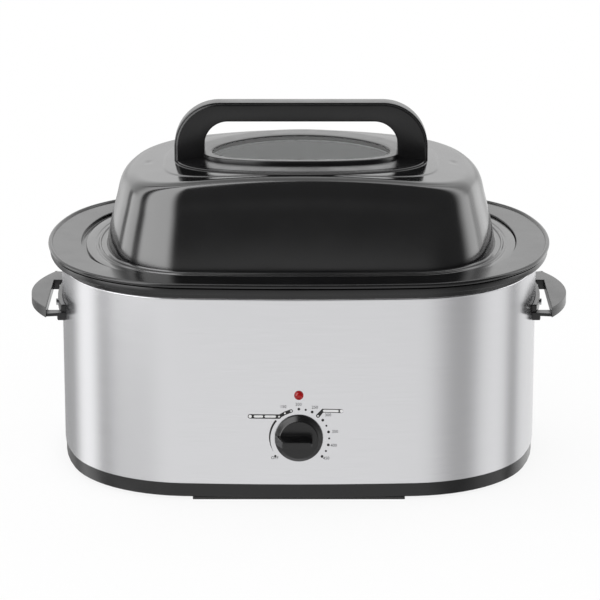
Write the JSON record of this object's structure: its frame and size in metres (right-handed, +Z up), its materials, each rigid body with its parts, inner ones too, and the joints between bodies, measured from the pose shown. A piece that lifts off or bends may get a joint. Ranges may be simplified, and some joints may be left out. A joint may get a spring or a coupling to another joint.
{
  "type": "electric roaster oven",
  "caption": "Oval countertop roaster oven: steel-wrapped heated base, lift-out pan and rack, lift-off domed lid with window and arched handle, thermostat dial.",
  "frame": {"origin": "centre of the face the roaster rests on", "axes": "+X along the length towards the right side handle, +Y towards the back, +Z up; the dial faces -Y"},
  "size_m": [0.6012, 0.4234, 0.402],
  "materials": {
    "brushed_steel": "brushed",
    "black_enamel": "gloss",
    "black_phenolic": "satin",
    "black_polymer": "matte",
    "aluminised_steel": "satin",
    "zinc_steel": "satin",
    "chrome_wire": "polished",
    "mica": "matte",
    "white_ceramic": "satin",
    "glass_wool": "matte",
    "copper": "satin",
    "red_lens": "gloss",
    "window_glass": "clear",
    "silicone_rubber": "matte",
    "lamp_glass": "clear"
  },
  "bodies": {
    "base": {"outer_shell": "brushed_steel", "rim_ring": "black_phenolic", "heating_well": "aluminised_steel", "base_trim": "black_phenolic", "bottom_plate": "zinc_steel", "foot_rails": "silicone_rubber", "base_screws": "zinc_steel", "heater_band": "mica", "band_clamp": "zinc_steel", "heater_terminals": "white_ceramic", "insulation_wrap": "glass_wool", "thermostat_body": "black_polymer", "thermostat_nut": "zinc_steel", "sensing_bulb": "copper", "bulb_clip": "zinc_steel", "terminal_block": "white_ceramic", "cord_gland": "black_polymer", "indicator_lens": "red_lens", "indicator_lamp": "lamp_glass", "left_handle": "black_phenolic", "right_handle": "black_phenolic", "side_handle_screws": "zinc_steel", "side_handle_plates": "zinc_steel"},
    "knob": {"control_knob": "black_phenolic", "thermostat_shaft": "zinc_steel"},
    "pan": {"roasting_pan": "black_enamel"},
    "rack": {"roasting_rack": "chrome_wire"},
    "lid": {"lid_shell": "black_enamel", "handle_base_ring": "black_phenolic", "lid_handle": "black_phenolic", "lid_handle_screws": "zinc_steel", "window_bezel": "black_phenolic", "window_glass": "window_glass", "window_gasket": "silicone_rubber", "window_retainer": "zinc_steel"}
  },
  "joints": [
    {"name": "knob_turn", "type": "hinge", "parent": "base", "child": "knob", "pos_m": [0, -0.2, 0.0713], "axis": [0, 1, 0], "range_deg": [-39, 220]},
    {"name": "pan_lift", "type": "slide", "parent": "base", "child": "pan", "axis": [0, 0, 1], "range_m": [0, 0.24]},
    {"name": "rack_lift", "type": "slide", "parent": "pan", "child": "rack", "axis": [0, 0, 1], "range_m": [0, 0.24]},
    {"name": "lid_lift", "type": "slide", "parent": "pan", "child": "lid", "axis": [0, 0, 1], "range_m": [0, 0.4]}
  ],
  "couplings": [
    {"joint": "rack_lift", "follows": "lid_lift", "ratio": 0.55}
  ]
}
